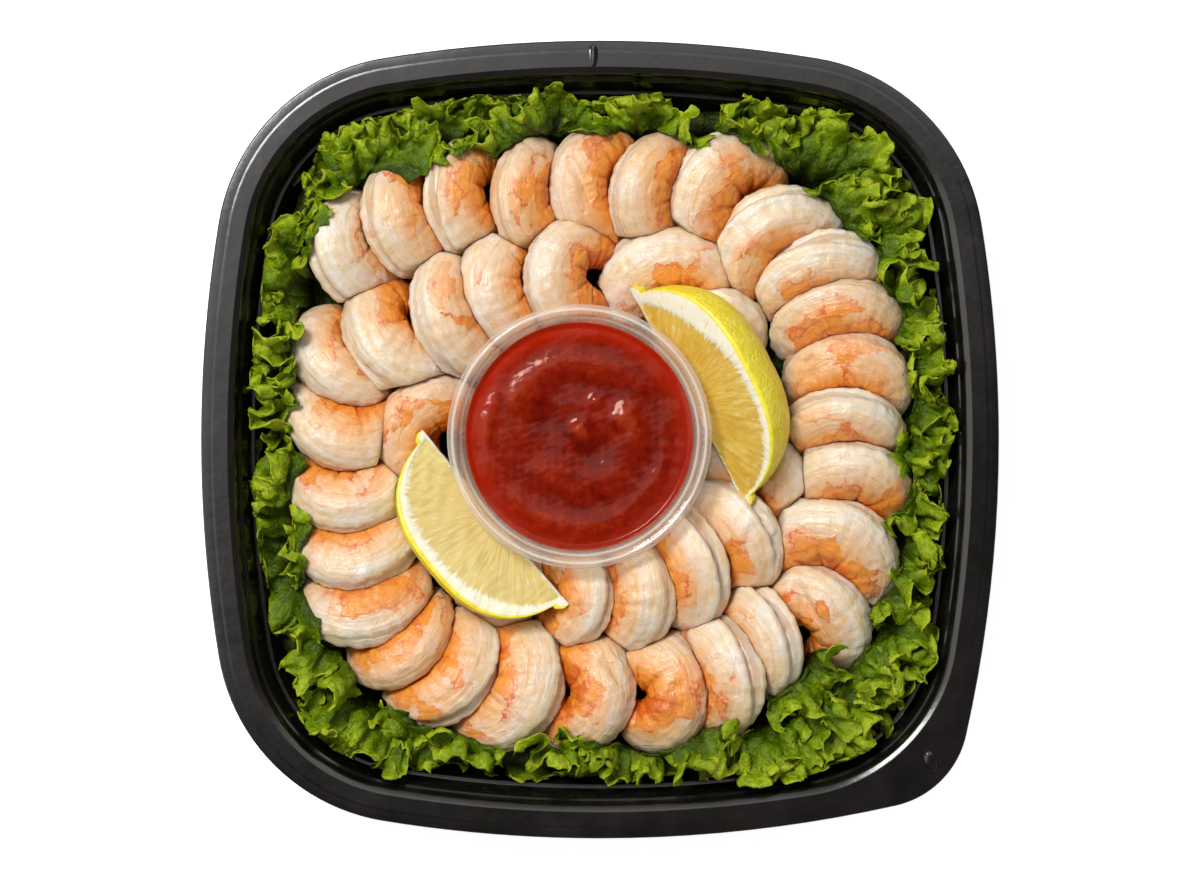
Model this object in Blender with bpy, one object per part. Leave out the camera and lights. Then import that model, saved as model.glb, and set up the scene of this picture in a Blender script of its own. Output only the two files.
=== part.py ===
"""Shrimp cocktail on a square deli tray.

A black tray with a rounded-square rim holds a bed of frilly lettuce. Curled, peeled shrimps lie on
it like fallen dominoes in an outer ring along the tray's wall and an inner ring round a clear cup
of cocktail sauce. Two lemon wedges lean on the inner ring against the cup.

Every size below is in millimetres and every angle in degrees; add_node turns them into metres.
+Z is up, the tray stands on z = 0 and its centre is the origin. Bearings turn from +X towards +Y.
"""
import math

import bmesh
import bpy
import numpy as np

GAP = 0.3                     # room kept between pieces that touch

# Tray: four bulging sides joined by round corners, one of them drawn out into a pull tab
TRAY_HALF = 115.0             # centre to the middle of a side
SIDE_RADIUS = 390.0
CORNER_DIAGONAL = 132.8       # centre to the middle of a round corner
TAB_DIAGONAL = 139.1          # the same where the pull tab is
TAB_QUADRANT = 3              # +X, -Y
RIM_HEIGHT = 40.0
FLOOR_TOP = 1.2
# (inset from the outline, height, follows the tab): floor edge, up the wall, over the rim, down
TRAY_PROFILE = (
    (23.0, FLOOR_TOP, False),
    (17.0, 5.0, False),
    (13.6, RIM_HEIGHT - 17.0, False),
    (12.2, RIM_HEIGHT - 16.2, False),
    (10.4, RIM_HEIGHT - 6.6, False),
    (9.0, RIM_HEIGHT - 6.0, False),
    (7.5, RIM_HEIGHT, False),
    (3.6, RIM_HEIGHT, True),
    (2.8, RIM_HEIGHT - 0.9, True),
    (0.8, RIM_HEIGHT - 1.1, True),
    (0.0, RIM_HEIGHT - 5.0, True),
    (1.0, RIM_HEIGHT - 5.0, True),
    (1.8, RIM_HEIGHT - 2.1, True),
    (6.6, RIM_HEIGHT - 1.0, False),
    (11.2, RIM_HEIGHT - 17.6, False),
    (15.8, 4.4, False),
    (21.6, 0.0, False),
)

# Sauce cup: a clear tapered portion cup with a rolled rim
CUP_X, CUP_Y = -5.9, 0.9
CUP_BASE = FLOOR_TOP + GAP
CUP_SIDES = 36
# (radius, height above the cup's base) from the middle of the inner floor over the rim and down
CUP_PROFILE = (
    (24.6, 0.8), (33.0, 38.4), (34.4, 39.0), (34.9, 42.6), (36.0, 43.5), (37.3, 43.4),
    (38.0, 42.4), (37.6, 41.4), (35.8, 41.8), (35.2, 38.2), (33.8, 37.6), (25.6, 0.0),
)
CUP_RIM_RADIUS = 38.0
SAUCE_LEVEL = 37.6            # above the cup's base
SAUCE_SWIRL = 0.9             # height of the stirred crests

# Lettuce: a flat bed under the shrimps and a ruffled hedge along the tray's wall
BED_TOP = 12.0
BED_HOLE = 30.5               # radius of the clearing the cup stands in
HEDGE_FOOT = 25.0             # inset of the hedge's inner side
TAB_BEARING = -44.0           # the hedge keeps away from the tab's corner
TAB_HOLLOW = 7.0
HEDGE_STEPS = 84

# Shrimps: a curled body of round sections, thick at the head end, thin at the tail
CURL_RADIUS = 10.0            # middle of the body to the middle of the curl
BODY_RADIUS = 8.5
BACK_DEPTH = 1.18             # the section is deeper towards the back than it is wide
BELLY_DEPTH = 0.98
BODY_WIDTH = 0.90
SECTION_SIDES = 6
SECTION_SWELL = 1.13          # a hexagon's corners stand out so that it fills the round section
RINGS = (0.0, 0.07, 0.18, 0.31, 0.44, 0.57, 0.69, 0.81, 0.92, 1.0)
GIRTH_AT = (0.0, 0.05, 0.16, 0.32, 0.50, 0.68, 0.84, 0.94, 1.0)
GIRTH = (0.55, 0.82, 0.98, 1.00, 0.97, 0.86, 0.70, 0.52, 0.26)
CURL_MIDDLE = 78.0            # middle of the curl, as an angle from the tail's heading to the back
CURL_SWEEP = 280.0            # of a fully curled body; an open one bends less and wider
TAIL_CURL = 0.34              # how much tighter the curl is at the tail
CURL_HOLE = 1.3               # radius left open in the middle of the curl
SEGMENTS = 6

BACKS_TOP = 37.5              # height that the shrimps' backs reach
RING_HALF_X, RING_HALF_Y = 74.0, 72.5
RING_POWER = 3.3              # how square the outer ring of shrimps is
# bearing, outward shift, heading of the tail end, lean from the horizontal, size, openness
OUTER_RING = (
    (141, 2, 102, 47, 1.00, 1.00), (127, 1, 102, 47, 1.06, 1.05), (116, -2, 94, 47, 1.03, 1.05),
    (103, -2, 88, 49, 0.98, 1.00), (86, -1, 82, 31, 1.07, 1.00), (72, -6, 70, 37, 1.04, 1.00),
    (56, -4, 52, 33, 1.12, 1.12), (43, -7, 26, 35, 1.12, 1.15), (33, -7, 8, 45, 1.06, 1.20),
    (24, -2, 0, 43, 1.06, 1.05), (11, 0, -14, 35, 1.06, 1.00), (-1, 1, -8, 45, 1.00, 1.05),
    (-14, -1, -12, 41, 1.06, 1.00), (-32, -6, -26, 29, 1.16, 1.08), (-42, -9, -44, 39, 1.08, 1.00),
    (-53, -8, -72, 51, 1.00, 1.00), (-64, -1, -80, 49, 1.04, 1.20), (-81, 3, -92, 25, 1.06, 0.96),
    (-99, 3, -100, 29, 1.08, 0.98), (-116, 4, -120, 31, 1.14, 1.15), (-129, -3, -140, 37, 1.08, 1.15),
    (-138, 0, -146, 49, 1.00, 1.00), (-148, 0, -174, 43, 1.06, 1.10), (-160, 0, -178, 39, 1.04, 1.05),
    (-173, 2, 178, 39, 1.04, 1.00), (171, 3, 156, 33, 1.12, 1.00), (159, -4, 142, 41, 1.04, 1.00),
)
# bearing from the cup, distance from the cup, then as above
INNER_RING = (
    (146, 62, 132, 41, 1.12, 1.00), (132, 54, 106, 47, 1.10, 1.10), (111, 47, 100, 37, 1.08, 1.00),
    (85, 46, 84, 33, 1.04, 1.00), (59, 52, 4, 23, 1.12, 1.15), (178, 45, 44, 33, 1.00, 1.00),
    (40, 53, 20, 23, 0.95, 1.00), (-24, 60, -40, 27, 0.98, 1.00), (-37, 56, -62, 43, 1.10, 1.05),
    (-58, 51, -76, 49, 1.08, 1.05), (-73, 50, -88, 47, 1.06, 1.00), (-94, 48, -96, 39, 0.95, 1.00),
    (-122, 52, -122, 23, 0.89, 1.00),
)
SETTLE_STEPS = 90
SOFTNESS = 0.80               # how near two bodies may press, as a share of their girths
PRESS_ROOM = 0.36             # twice the gap left between bodies that press together
LEMON_ROOM = 1.0              # room kept from a wedge, whose edges are sharp
FIT_STEPS = 50                # a pressed body is drawn in by small steps
FIT_SHRINK = 0.955

# Lemon wedges: middle of the core line, its bearing, tilt of the upper cut face, angle between
# the cut faces, length and radius
LEMONS = (
    ("lemon_right", 25.4, 12.0, 33.4, -62.0, 54.0, 62.0, 72.0, 26.5),
    ("lemon_left", -30.2, -22.4, 35.4, 130.0, 20.0, 44.0, 66.0, 25.0),
)
LEMON_STATIONS = 10
LEMON_ARC_STEPS = 6


# ---------------------------------------------------------------- building blocks

def add_material(name, color, roughness, alpha=1.0):
    material = bpy.data.materials.new(name)
    material.use_nodes = True
    shader = material.node_tree.nodes["Principled BSDF"]
    shader.inputs["Base Color"].default_value = (*color, 1.0)
    shader.inputs["Roughness"].default_value = roughness
    shader.inputs["Metallic"].default_value = 0.0
    shader.inputs["Alpha"].default_value = alpha
    return material


def add_node(name, points, faces, material):
    """One closed solid from points in millimetres."""
    mesh = bpy.data.meshes.new(name)
    mesh.from_pydata([tuple(0.001 * float(v) for v in p) for p in points], [], faces)
    work = bmesh.new()
    work.from_mesh(mesh)
    bmesh.ops.recalc_face_normals(work, faces=work.faces)
    bmesh.ops.triangulate(work, faces=work.faces)
    work.to_mesh(mesh)
    work.free()
    mesh.materials.append(material)
    mesh.shade_smooth()
    node = bpy.data.objects.new(name, mesh)
    bpy.context.collection.objects.link(node)
    return node


def loft(loops, closed=False):
    """Points and faces of a skin over loops of equal length, capped unless the loops close."""
    count = len(loops[0])
    points = [p for loop in loops for p in loop]
    spans = len(loops) if closed else len(loops) - 1
    faces = []
    for k in range(spans):
        low, high = k * count, (k + 1) % len(loops) * count
        for i in range(count):
            j = (i + 1) % count
            faces.append((low + i, low + j, high + j, high + i))
    if not closed:
        faces.append(tuple(range(count)))
        faces.append(tuple(range((len(loops) - 1) * count, len(loops) * count)))
    return points, faces


def circle(radius, height, sides, x=0.0, y=0.0):
    turns = [2.0 * math.pi * i / sides for i in range(sides)]
    return [(x + radius * math.cos(t), y + radius * math.sin(t), height) for t in turns]


# ---------------------------------------------------------------- tray

def corner_arc(diagonal):
    """Centre offset, radius and first angle of a corner arc that runs on from the side arcs."""
    reach = SIDE_RADIUS - TRAY_HALF
    rest = SIDE_RADIUS - diagonal
    offset = (rest ** 2 - reach ** 2) / (2.0 * reach - 2.0 * math.sqrt(2.0) * rest)
    radius = diagonal - math.sqrt(2.0) * offset
    return offset, radius, math.atan2(offset, offset + reach)


def quarter_outline(inset, diagonal, side_steps=3, corner_steps=8):
    """Outline points of one quadrant, from the middle of one side up to the next."""
    offset, radius, start = corner_arc(diagonal)
    reach, side = SIDE_RADIUS - TRAY_HALF, SIDE_RADIUS - inset
    points = [(side * math.cos(start * i / side_steps) - reach, side * math.sin(start * i / side_steps))
              for i in range(side_steps)]
    sweep = 0.5 * math.pi - 2.0 * start
    for i in range(corner_steps + 1):
        t = start + sweep * i / corner_steps
        points.append((offset + (radius - inset) * math.cos(t), offset + (radius - inset) * math.sin(t)))
    points += [(y, x) for x, y in reversed(points[1:side_steps])]
    return points


def outline(inset, height, with_tab=False):
    loop = []
    for quadrant in range(4):
        diagonal = TAB_DIAGONAL if with_tab and quadrant == TAB_QUADRANT else CORNER_DIAGONAL
        cos, sin = (1, 0, -1, 0)[quadrant], (0, 1, 0, -1)[quadrant]
        loop += [(cos * x - sin * y, sin * x + cos * y, height)
                 for x, y in quarter_outline(inset, diagonal)]
    return loop


def inset_of(x, y):
    """How far points lie inside the outline without its tab."""
    offset, radius, start = corner_arc(CORNER_DIAGONAL)
    reach = SIDE_RADIUS - TRAY_HALF
    x, y = np.abs(x), np.abs(y)
    side = SIDE_RADIUS - np.maximum(np.hypot(x + reach, y), np.hypot(x, y + reach))
    turn = np.arctan2(y - offset, x - offset)
    in_corner = (turn > start) & (turn < 0.5 * math.pi - start)
    return np.where(in_corner, radius - np.hypot(x - offset, y - offset), side)


def build_tray():
    loops = [outline(*step) for step in TRAY_PROFILE]
    add_node("tray", *loft(loops), add_material("black_plastic", (0.012, 0.012, 0.013), 0.28))


# ---------------------------------------------------------------- cup and sauce

def cup_inner_radius(height):
    (low_r, low_z), (high_r, high_z) = CUP_PROFILE[0], CUP_PROFILE[1]
    return low_r + (high_r - low_r) * (height - low_z) / (high_z - low_z)


def cup_clearance(z):
    """Radius that the cup takes up at each height."""
    heights = [CUP_BASE + h for h in (0.0, 37.6, 38.2, 41.2, 43.6)]
    return np.interp(z, heights, [25.6, 33.8, 35.2, CUP_RIM_RADIUS, CUP_RIM_RADIUS])


def build_cup():
    loops = [circle(r, CUP_BASE + h, CUP_SIDES, CUP_X, CUP_Y) for r, h in CUP_PROFILE]
    add_node("cup", *loft(loops), add_material("clear_plastic", (0.9, 0.9, 0.92), 0.08, 0.35))


def sauce_top(radius, turn):
    """Height of the stirred surface: crests that wind outwards from a small knob."""
    share = radius / cup_inner_radius(SAUCE_LEVEL)
    swirl = math.sin(2.0 * turn + 7.5 * share + 0.6) * math.sin(math.pi * share)
    knob = math.exp(-(radius / 3.5) ** 2)
    return SAUCE_LEVEL + SAUCE_SWIRL * (0.55 * swirl + 1.1 * knob - 0.25)


def build_sauce():
    base = CUP_PROFILE[0][1] + GAP
    shares = (0.05, 0.2, 0.4, 0.6, 0.8, 0.93, 1.0)
    loops = []
    for share in shares:
        radius = share * (cup_inner_radius(SAUCE_LEVEL) - GAP)
        loop = circle(radius, 0.0, CUP_SIDES, CUP_X, CUP_Y)
        loops.append([(x, y, CUP_BASE + sauce_top(radius, 2.0 * math.pi * i / CUP_SIDES))
                      for i, (x, y, _) in enumerate(loop)])
    loops.append(circle(cup_inner_radius(base) - GAP, CUP_BASE + base, CUP_SIDES, CUP_X, CUP_Y))
    add_node("sauce", *loft(loops), add_material("cocktail_sauce", (0.30, 0.012, 0.006), 0.18))


# ---------------------------------------------------------------- lettuce

def ruffle(turn, waves):
    return sum(size * math.sin(count * turn + phase) for count, size, phase in waves)


def corner_hollow(turn, bearing, width=13.0):
    """1 at a corner's bearing, falling to 0 beside it."""
    away = (np.degrees(turn) - bearing + 180.0) % 360.0 - 180.0
    return np.exp(-(away / width) ** 2)


def hedge_foot(turn):
    return HEDGE_FOOT + TAB_HOLLOW * corner_hollow(turn, TAB_BEARING, 18.0)


def ray_point(turn, inset):
    """The point on a bearing that lies the given inset inside the outline."""
    low, high = 0.0, TAB_DIAGONAL
    for _ in range(24):
        middle = 0.5 * (low + high)
        inside = inset_of(middle * math.cos(turn), middle * math.sin(turn)) > inset
        low, high = (middle, high) if inside else (low, middle)
    return low * math.cos(turn), low * math.sin(turn)


def hedge_edge(turn):
    """Inset and height of the hedge's frilly outer crest."""
    inset = 15.0 + ruffle(turn, ((5, 0.8, 0.4), (9, 0.9, 1.9), (19, 1.7, 0.2)))
    inset += 4.0 * corner_hollow(turn, 140) + 3.0 * corner_hollow(turn, -137)
    inset += TAB_HOLLOW * corner_hollow(turn, TAB_BEARING)
    height = 31.5 + ruffle(turn, ((4, 1.2, 2.2), (11, 1.6, 0.9), (21, 1.9, 2.6)))
    return max(float(inset), 12.6), height


def build_lettuce():
    bottom = FLOOR_TOP + GAP
    loops = [[] for _ in range(8)]
    for i in range(HEDGE_STEPS):
        turn = 2.0 * math.pi * i / HEDGE_STEPS
        foot = float(hedge_foot(turn))
        inset, crest = hedge_edge(turn)
        inner = (CUP_X + BED_HOLE * math.cos(turn), CUP_Y + BED_HOLE * math.sin(turn))
        loops[0].append((*inner, bottom))
        loops[1].append((*inner, BED_TOP))
        loops[2].append((*ray_point(turn, foot), BED_TOP))
        loops[3].append((*ray_point(turn, foot - 1.0), 0.5 * (BED_TOP + crest)))
        loops[4].append((*ray_point(turn, foot - 3.5), crest - 1.0))
        loops[5].append((*ray_point(turn, inset), crest))
        loops[6].append((*ray_point(turn, max(inset + 3.0, 15.5)), 0.5 * (bottom + crest)))
        loops[7].append((*ray_point(turn, foot + 0.5), bottom))
    add_node("lettuce", *loft(loops, closed=True), add_material("lettuce", (0.11, 0.24, 0.02), 0.45))


# ---------------------------------------------------------------- lemon wedges

class Lemon:
    """A pole-to-pole wedge: two flat cut faces meet along the core line, the rind joins them."""

    def __init__(self, name, x, y, z, bearing, tilt, spread, length, radius):
        turn = math.radians(bearing)
        self.name = name
        self.middle = np.array((x, y, z))
        self.along = np.array((math.cos(turn), math.sin(turn), 0.0))
        self.out = np.array((-math.sin(turn), math.cos(turn), 0.0))
        self.top, self.low = math.radians(tilt), math.radians(tilt - spread)
        self.length, self.radius = length, radius

    def section_radius(self, station):
        """Lemon outline along its axis: an oval body with a nipple at each pole."""
        body = math.sqrt(max(0.0, 1.0 - abs(station / 0.93) ** 2.3))
        nipple = 0.16 * math.exp(-((abs(station) - 0.94) / 0.07) ** 2)
        return self.radius * max(body, nipple, 0.03)

    def point(self, station, radius, angle):
        up = np.array((0.0, 0.0, 1.0))
        across = math.cos(angle) * self.out + math.sin(angle) * up
        return self.middle + 0.5 * self.length * station * self.along + radius * across

    def loops(self):
        loops = []
        for k in range(LEMON_STATIONS + 1):
            station = -math.cos(math.pi * k / LEMON_STATIONS)
            radius = self.section_radius(station)
            arc = [self.low + (self.top - self.low) * i / LEMON_ARC_STEPS
                   for i in range(LEMON_ARC_STEPS + 1)]
            loops.append([self.point(station, 0.0, 0.0)] + [self.point(station, radius, a) for a in arc])
        return loops

    def distance(self, points):
        """How far points lie outside the wedge's cut faces and the rind's round."""
        local = points - self.middle
        out, up = local @ self.out, local[:, 2]
        above = up * math.cos(self.top) - out * math.sin(self.top)
        below = out * math.sin(self.low) - up * math.cos(self.low)
        station = np.clip(2.0 * (local @ self.along) / self.length, -1.0, 1.0)
        girth = self.radius * np.sqrt(np.maximum(0.02, 1.0 - np.abs(station / 0.96) ** 2.3))
        return np.maximum.reduce([above, below, np.hypot(out, up) - girth])


def build_lemon(lemon, material):
    loops = [[clear_of_cup(p) for p in loop] for loop in lemon.loops()]
    add_node(lemon.name, *loft(loops), material)


def clear_of_cup(point):
    """Slide a point outwards until it clears the cup's wall."""
    x, y = point[0] - CUP_X, point[1] - CUP_Y
    away = math.hypot(x, y)
    push = max(1.0, (float(cup_clearance(point[2])) + 2.0 * GAP) / away)
    return np.array((CUP_X + push * x, CUP_Y + push * y, point[2]))


# ---------------------------------------------------------------- shrimps

class Shrimp:
    """A curled body in a leaning plane: its back faces the next bearing, its ends face away."""

    def __init__(self, name, place, heading, lean, size, openness):
        self.name = name
        self.place = np.array(place, dtype=float)
        self.home = self.place.copy()
        self.size, self.openness = size, openness
        turn, rise = math.radians(heading), math.radians(lean)
        self.out = np.array((math.cos(turn), math.sin(turn), 0.0))
        self.back = np.array((-math.sin(turn) * math.cos(rise), math.cos(turn) * math.cos(rise),
                              math.sin(rise)))
        self.face = np.cross(self.out, self.back)
        stations = np.linspace(0.0, 1.0, 15)
        self.spine = np.array([self.centre(s) - self.place for s in stations])
        self.girths = np.array([self.girth(s) for s in stations])

    def direction(self, share):
        angle = math.radians(CURL_MIDDLE + CURL_SWEEP / self.openness * (0.5 - share))
        return math.cos(angle) * self.out + math.sin(angle) * self.back

    def curl(self, share):
        """Radius of the curl, tighter towards the tail."""
        return self.size * self.openness * CURL_RADIUS * (1.0 - TAIL_CURL * share ** 2)

    def centre(self, share):
        return self.place + self.curl(share) * self.direction(share)

    def girth(self, share):
        ripple = 1.0 + 0.035 * math.cos(2.0 * math.pi * SEGMENTS * share)
        return self.size * BODY_RADIUS * float(np.interp(share, GIRTH_AT, GIRTH)) / ripple

    def ring(self, share):
        """The body's section at a share of its length from the head end."""
        centre, out = self.centre(share), self.direction(share)
        radius = self.girth(share) * SECTION_SWELL
        belly = min(BELLY_DEPTH * radius, self.curl(share) - CURL_HOLE)
        ring = []
        for i in range(SECTION_SIDES):
            turn = 2.0 * math.pi * i / SECTION_SIDES
            depth = BACK_DEPTH * radius if math.cos(turn) > 0.0 else belly
            across = depth * math.cos(turn) * out + BODY_WIDTH * radius * math.sin(turn) * self.face
            ring.append(centre + across)
        return ring

    def distance(self, points):
        """How far points lie outside the round body."""
        start, step = self.place + self.spine[:-1], np.diff(self.spine, axis=0)
        offset = points[:, None, :] - start[None]
        share = np.clip((offset * step).sum(2) / (step * step).sum(1), 0.0, 1.0)
        away = np.linalg.norm(offset - share[..., None] * step, axis=2)
        girth = self.girths[:-1] + share * np.diff(self.girths)
        return (away - girth).min(1)


def ring_place(bearing, shift):
    """A place on the rounded-square outer ring."""
    turn = math.radians(bearing)
    cos, sin = math.cos(turn), math.sin(turn)
    reach = (abs(cos / RING_HALF_X) ** RING_POWER + abs(sin / RING_HALF_Y) ** RING_POWER)
    reach = reach ** (-1.0 / RING_POWER) + shift
    return reach * cos, reach * sin


def home_height(lean, size):
    """Height of the curl's middle whose back reaches the common height."""
    rise = math.radians(lean)
    return BACKS_TOP - size * (CURL_RADIUS * math.sin(rise) + BODY_RADIUS)


def place_shrimps():
    shrimps = []
    for bearing, shift, heading, lean, size, openness in OUTER_RING:
        x, y = ring_place(bearing, shift)
        shrimps.append(((x, y, home_height(lean, size)), heading, lean, size, openness))
    for bearing, away, heading, lean, size, openness in INNER_RING:
        x = CUP_X + away * math.cos(math.radians(bearing))
        y = CUP_Y + away * math.sin(math.radians(bearing))
        shrimps.append(((x, y, home_height(lean, size)), heading, lean, size, openness))
    return [Shrimp("shrimp_%02d" % (k + 1), *row) for k, row in enumerate(shrimps)]


def hedge_room(points):
    """How far points lie inside the hedge."""
    x, y = points[:, 0], points[:, 1]
    return inset_of(x, y) - hedge_foot(np.arctan2(y, x))


def wall_push(balls, girths):
    """The largest move that takes a body's balls out of the bed, the hedge and the cup."""
    push = np.zeros(3)
    push[2] = max(0.0, (BED_TOP + girths - balls[:, 2]).max())
    depth = girths - hedge_room(balls)
    worst = int(depth.argmax())
    if depth[worst] > 0.0:
        push[:2] -= depth[worst] * balls[worst, :2] / np.hypot(*balls[worst, :2])
    from_cup = balls[:, :2] - (CUP_X, CUP_Y)
    away = np.hypot(from_cup[:, 0], from_cup[:, 1])
    depth = cup_clearance(balls[:, 2]) + girths - away
    worst = int(depth.argmax())
    if depth[worst] > 0.0:
        push[:2] += depth[worst] * from_cup[worst] / away[worst]
    return push


def lemon_push(lemon, balls, girths):
    """Wedges press the shrimps under them down."""
    depth = girths - lemon.distance(balls)
    return np.array((0.0, 0.0, -max(0.0, float(depth.max()))))


def settle(shrimps, lemons):
    """Let the shrimps sink and push each other aside until they lie close without sinking in."""
    for _ in range(SETTLE_STEPS):
        moves = [np.zeros(3) for _ in shrimps]
        for i, first in enumerate(shrimps):
            for j in range(i + 1, len(shrimps)):
                second = shrimps[j]
                if np.linalg.norm(first.place - second.place) > 4.2 * CURL_RADIUS:
                    continue
                apart = (first.place + first.spine)[:, None] - (second.place + second.spine)[None]
                away = np.linalg.norm(apart, axis=2)
                depth = SOFTNESS * (first.girths[:, None] + second.girths[None]) - away
                worst = np.unravel_index(int(depth.argmax()), depth.shape)
                if depth[worst] > 0.0:
                    push = 0.28 * depth[worst] * apart[worst] / away[worst] * (1.0, 1.0, 0.45)
                    moves[i] += push
                    moves[j] -= push
        for shrimp, move in zip(shrimps, moves):
            balls = shrimp.place + shrimp.spine
            move += 0.5 * wall_push(balls, shrimp.girths)
            for lemon in lemons:
                move += 0.4 * lemon_push(lemon, balls, shrimp.girths)
            move += np.array((0.08, 0.08, 0.12)) * (shrimp.home - shrimp.place)
            shrimp.place += np.clip(move, -1.5, 1.5)


def overreach(points, shrimp, neighbours, lemons):
    """How far points of a shrimp reach past its own room; soft bodies share the room between."""
    own = shrimp.distance(points)
    excess = [BED_TOP + GAP - points[:, 2],
              2.0 * GAP - hedge_room(points),
              cup_clearance(points[:, 2]) + 2.0 * GAP - np.hypot(points[:, 0] - CUP_X,
                                                                 points[:, 1] - CUP_Y)]
    excess += [own - other.distance(points) + PRESS_ROOM for other in neighbours]
    excess += [LEMON_ROOM - lemon.distance(points) for lemon in lemons]
    return np.maximum.reduce(excess)


def skin_corner(grid, ring_step, side_step):
    """The grid of section corners seen from a neighbouring section or side."""
    rows = np.minimum(np.arange(len(grid)) + ring_step, len(grid) - 1)
    return np.roll(grid[rows], -side_step, axis=1)


def tight_corners(points, shrimp, neighbours, lemons):
    """Corners with no room, at the corner itself or on the skin that runs from it."""
    tight = np.zeros(points.shape[:2], dtype=bool)
    for ring_step, side_step in ((0, 0), (1, 0), (0, 1), (1, 1)):
        steps = ((0, 0), (ring_step, 0), (0, side_step), (ring_step, side_step))
        middles = sum(skin_corner(points, *step) for step in steps) / 4.0
        over = overreach(middles.reshape(-1, 3), shrimp, neighbours, lemons) > 0.0
        over = over.reshape(tight.shape)
        for rows, sides in steps:
            rolled = np.roll(over, sides, axis=1)
            tight[rows:] |= rolled[:len(rolled) - rows]
    return tight


def fit_body(shrimp, neighbours, lemons):
    """The body's sections, drawn in towards their middles where something presses on them."""
    centres = np.array([[shrimp.centre(share)] for share in RINGS])
    spokes = np.array([shrimp.ring(share) for share in RINGS]) - centres
    reach = np.ones(spokes.shape[:2])
    for _ in range(FIT_STEPS):
        points = centres + reach[..., None] * spokes
        reach[tight_corners(points, shrimp, neighbours, lemons)] *= FIT_SHRINK
    return centres + np.maximum(reach, 0.08)[..., None] * spokes


def build_shrimps(lemons):
    shrimps = place_shrimps()
    settle(shrimps, lemons)
    material = add_material("shrimp", (0.80, 0.50, 0.36), 0.35)
    for shrimp in shrimps:
        neighbours = [other for other in shrimps if other is not shrimp
                      and np.linalg.norm(other.place - shrimp.place) < 4.6 * CURL_RADIUS]
        loops = [list(ring) for ring in fit_body(shrimp, neighbours, lemons)]
        add_node(shrimp.name, *loft(loops), material)


def main():
    for item in list(bpy.data.objects):
        bpy.data.objects.remove(item)
    lemons = [Lemon(*row) for row in LEMONS]
    build_tray()
    build_cup()
    build_sauce()
    build_lettuce()
    rind = add_material("lemon", (0.85, 0.62, 0.04), 0.35)
    for lemon in lemons:
        build_lemon(lemon, rind)
    build_shrimps(lemons)


main()
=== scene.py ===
"""Looks of the shrimp cocktail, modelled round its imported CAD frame.

Lengths are in millimetres and angles in degrees, as in the part's source; add_piece turns them
into metres. +Z is up, the tray stands on z = 0, and bearings turn from +X towards +Y.
"""
import math

import bmesh
import bpy
import numpy as np
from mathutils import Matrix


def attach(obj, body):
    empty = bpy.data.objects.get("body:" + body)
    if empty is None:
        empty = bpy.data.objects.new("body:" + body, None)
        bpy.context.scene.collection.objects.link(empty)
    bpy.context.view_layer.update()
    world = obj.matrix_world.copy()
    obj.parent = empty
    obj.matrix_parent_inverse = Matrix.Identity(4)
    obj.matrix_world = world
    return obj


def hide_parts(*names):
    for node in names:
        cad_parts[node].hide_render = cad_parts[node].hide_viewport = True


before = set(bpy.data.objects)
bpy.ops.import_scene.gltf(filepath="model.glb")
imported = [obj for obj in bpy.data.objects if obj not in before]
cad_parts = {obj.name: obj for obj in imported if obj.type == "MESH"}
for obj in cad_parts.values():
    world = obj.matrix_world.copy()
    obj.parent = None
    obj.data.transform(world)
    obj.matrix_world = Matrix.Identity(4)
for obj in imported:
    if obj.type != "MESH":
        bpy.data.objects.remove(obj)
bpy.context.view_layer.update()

# ---- sizes shared with the part

TRAY_HALF = 115.0
SIDE_RADIUS = 390.0
SIDE_REACH = SIDE_RADIUS - TRAY_HALF  # from the middle back to a side arc's centre
CORNER_DIAGONAL = 132.8
TAB_DIAGONAL = 139.1
TAB_QUADRANT = 3
RIM_HEIGHT = 40.0
FLOOR_TOP = 1.2

CUP_X, CUP_Y = -5.9, 0.9
CUP_BASE = 1.5
CUP_SIDES = 160
SAUCE_LEVEL = 37.6  # above the cup's base
SAUCE_RADIUS = 32.93  # reaches just into the cup's wall at that level
SAUCE_TAPER = 0.2234  # how much the wall narrows for each millimetre down

CURL_RADIUS = 10.0
BODY_RADIUS = 8.5
BACK_DEPTH = 1.18
BELLY_DEPTH = 0.98
BODY_WIDTH = 0.9
SECTION_SIDES = 6
SECTION_SWELL = 1.13
RINGS = (0.0, 0.07, 0.18, 0.31, 0.44, 0.57, 0.69, 0.81, 0.92, 1.0)
GIRTH_AT = (0.0, 0.05, 0.16, 0.32, 0.5, 0.68, 0.84, 0.94, 1.0)
GIRTH = (0.55, 0.82, 0.98, 1.0, 0.97, 0.86, 0.7, 0.52, 0.26)
CURL_MIDDLE = 78.0
CURL_SWEEP = 280.0
TAIL_CURL = 0.34
CURL_HOLE = 1.3
SEGMENTS = 6

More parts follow.
